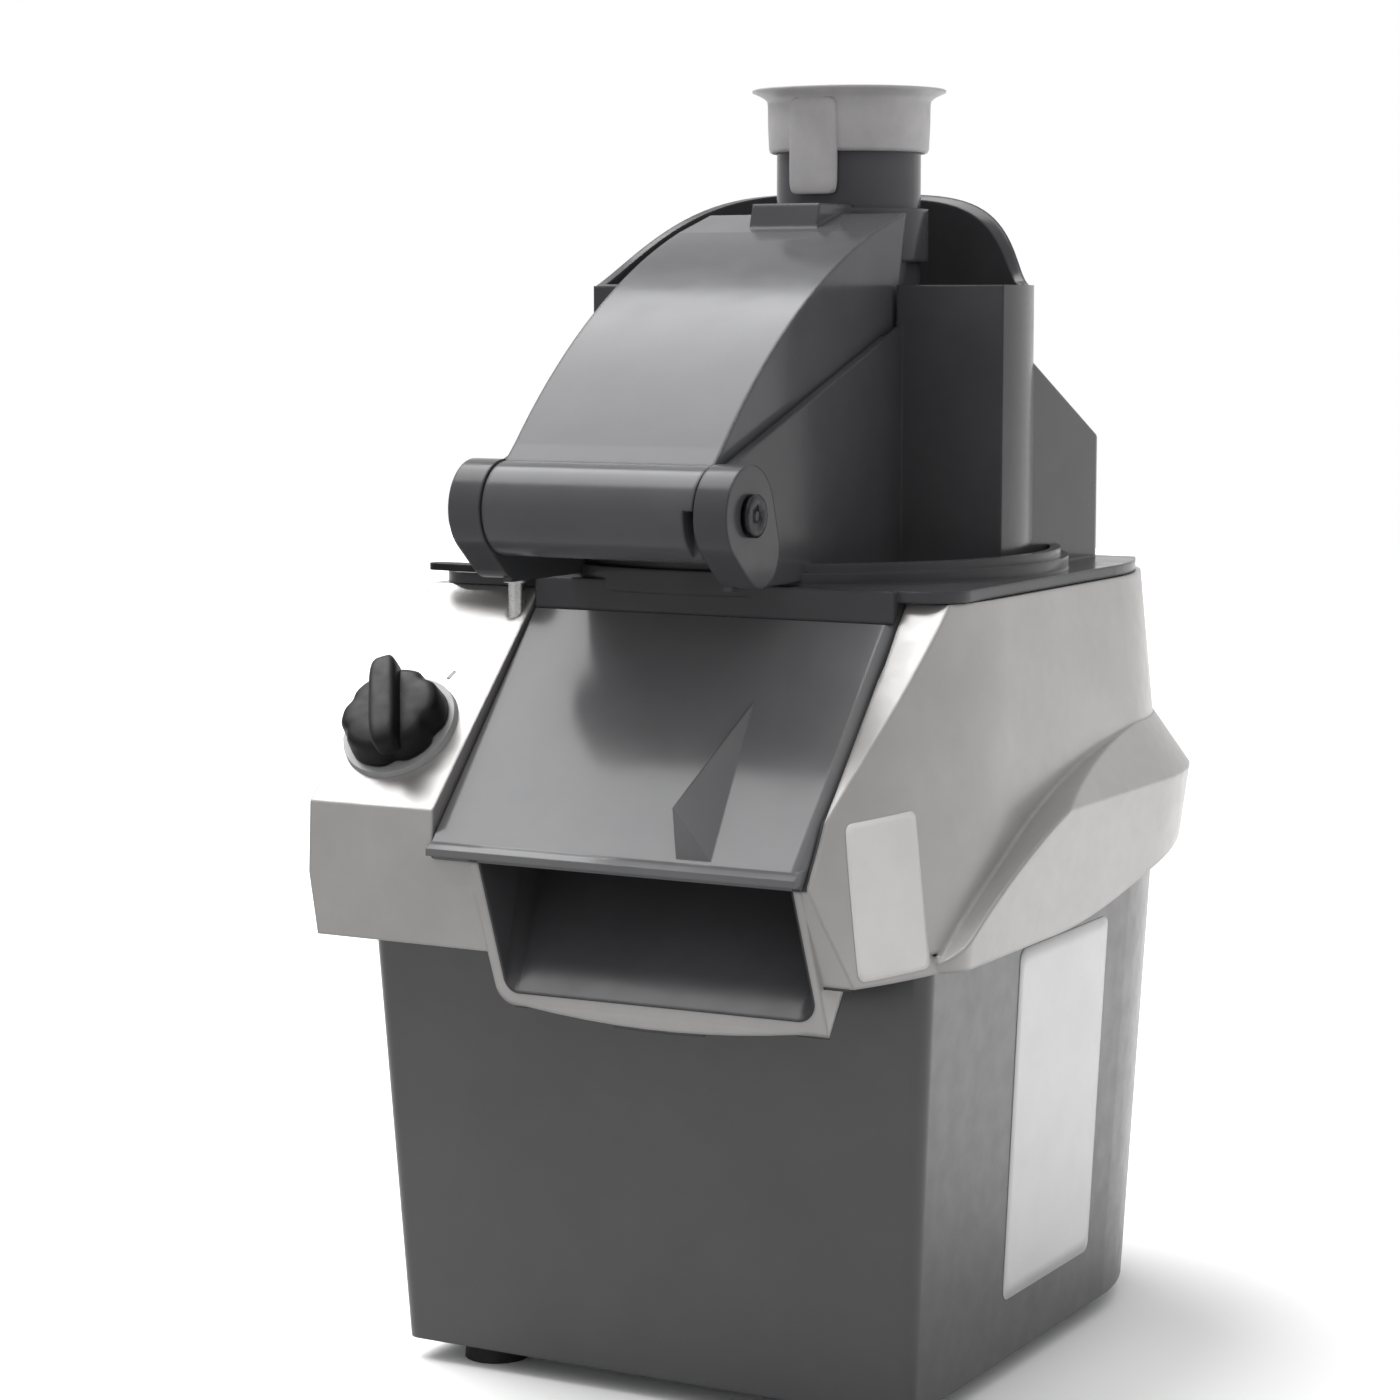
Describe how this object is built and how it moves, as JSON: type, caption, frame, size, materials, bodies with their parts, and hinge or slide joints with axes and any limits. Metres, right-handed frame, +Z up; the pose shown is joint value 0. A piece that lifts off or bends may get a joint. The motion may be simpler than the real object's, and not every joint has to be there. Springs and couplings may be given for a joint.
{
  "type": "vegetable cutting machine",
  "caption": "Bench vegetable cutter: drafted base, cast housing with front chute, hinged feed head with half-moon hopper, pusher arm, feed tube with pestle, belt-driven disc.",
  "frame": {"origin": "on the bench, under the middle of the machine's box", "axes": "+Z up, -Y towards the discharge chute and the user, +X to the user's right"},
  "size_m": [0.254, 0.35, 0.469],
  "materials": {
    "base_plastic": "moulded ABS, fine satin grain",
    "housing_cast": "die-cast aluminium, silver lacquer",
    "head_plastic": "glossy moulded polycarbonate",
    "hood_plastic": "glossy moulded polycarbonate",
    "arm_plastic": "glossy moulded polycarbonate",
    "pestle_plastic": "moulded polyamide",
    "black_plastic": "moulded black plastic",
    "ring_plastic": "grey moulded plastic",
    "rubber": "moulded rubber",
    "steel": "stainless steel",
    "zinc_steel": "zinc-plated steel",
    "cast_alloy": "cast aluminium, as cast",
    "blade_steel": "ground knife steel",
    "motor_paint": "black motor enamel",
    "board_green": "glass-fibre board",
    "capacitor_case": "drawn aluminium can"
  },
  "bodies": {
    "machine": {"base_casing": "base_plastic", "base_plate": "zinc_steel", "base_screws": "zinc_steel", "rubber_feet": "rubber", "cable_gland": "black_plastic", "upper_housing": "housing_cast", "housing_screws": "zinc_steel", "bearing_housing": "cast_alloy", "lower_bearing": "steel", "upper_bearing": "steel", "shaft_seal": "rubber", "motor_plate": "zinc_steel", "motor_plate_screws": "zinc_steel", "motor_body": "motor_paint", "motor_screws": "zinc_steel", "drive_belt": "rubber", "capacitor": "capacitor_case", "capacitor_clip": "zinc_steel", "board_bracket": "zinc_steel", "control_board": "board_green", "rotary_switch": "black_plastic", "knob_ring": "ring_plastic", "hinge_brackets": "cast_alloy", "bracket_bolts": "steel", "head_hinge_pin": "steel", "latch_post": "steel"},
    "rotor": {"motor_rotor": "steel", "motor_pulley": "cast_alloy"},
    "spindle": {"drive_shaft": "steel", "spindle_pulley": "cast_alloy", "shaft_nut": "zinc_steel", "ejector_plate": "black_plastic", "disc_hub": "cast_alloy", "cutting_disc": "cast_alloy", "disc_blades": "blade_steel"},
    "feed_head": {"feed_hopper": "head_plastic", "chute_hood": "hood_plastic", "arm_hinge_pin": "steel"},
    "pusher_arm": {"arm_cover": "arm_plastic", "feed_tube": "arm_plastic", "pusher_plate": "black_plastic"},
    "pestle": {"pestle": "pestle_plastic"},
    "knob": {"control_knob": "black_plastic", "knob_stem": "steel"},
    "latch": {"latch_lever": "black_plastic"}
  },
  "joints": [
    {"name": "motor_spin", "type": "hinge", "parent": "machine", "child": "rotor", "pos_m": [0, 0.084, 0.1], "axis": [0, 0, 1], "continuous": true},
    {"name": "spindle_spin", "type": "hinge", "parent": "machine", "child": "spindle", "pos_m": [0, -0.006, 0.2], "axis": [0, 0, 1], "continuous": true},
    {"name": "head_hinge", "type": "hinge", "parent": "machine", "child": "feed_head", "pos_m": [0, 0.112, 0.3], "axis": [-1, 0, 0], "range_deg": [0, 80]},
    {"name": "arm_hinge", "type": "hinge", "parent": "feed_head", "child": "pusher_arm", "pos_m": [0, -0.15, 0.318], "axis": [1, 0, 0], "range_deg": [0, 70]},
    {"name": "pestle_slide", "type": "slide", "parent": "pusher_arm", "child": "pestle", "axis": [0, 0, 1], "range_m": [0, 0.15]},
    {"name": "knob_turn", "type": "hinge", "parent": "machine", "child": "knob", "pos_m": [-0.089, -0.145, 0.2375], "axis": [0, -0.7071, 0.7071], "range_deg": [-45, 45]},
    {"name": "latch_turn", "type": "hinge", "parent": "machine", "child": "latch", "pos_m": [-0.066, -0.104, 0.292], "axis": [0, 0, -1], "range_deg": [0, 55]}
  ],
  "couplings": [
    {"joint": "spindle_spin", "follows": "motor_spin", "ratio": 0.33333}
  ]
}
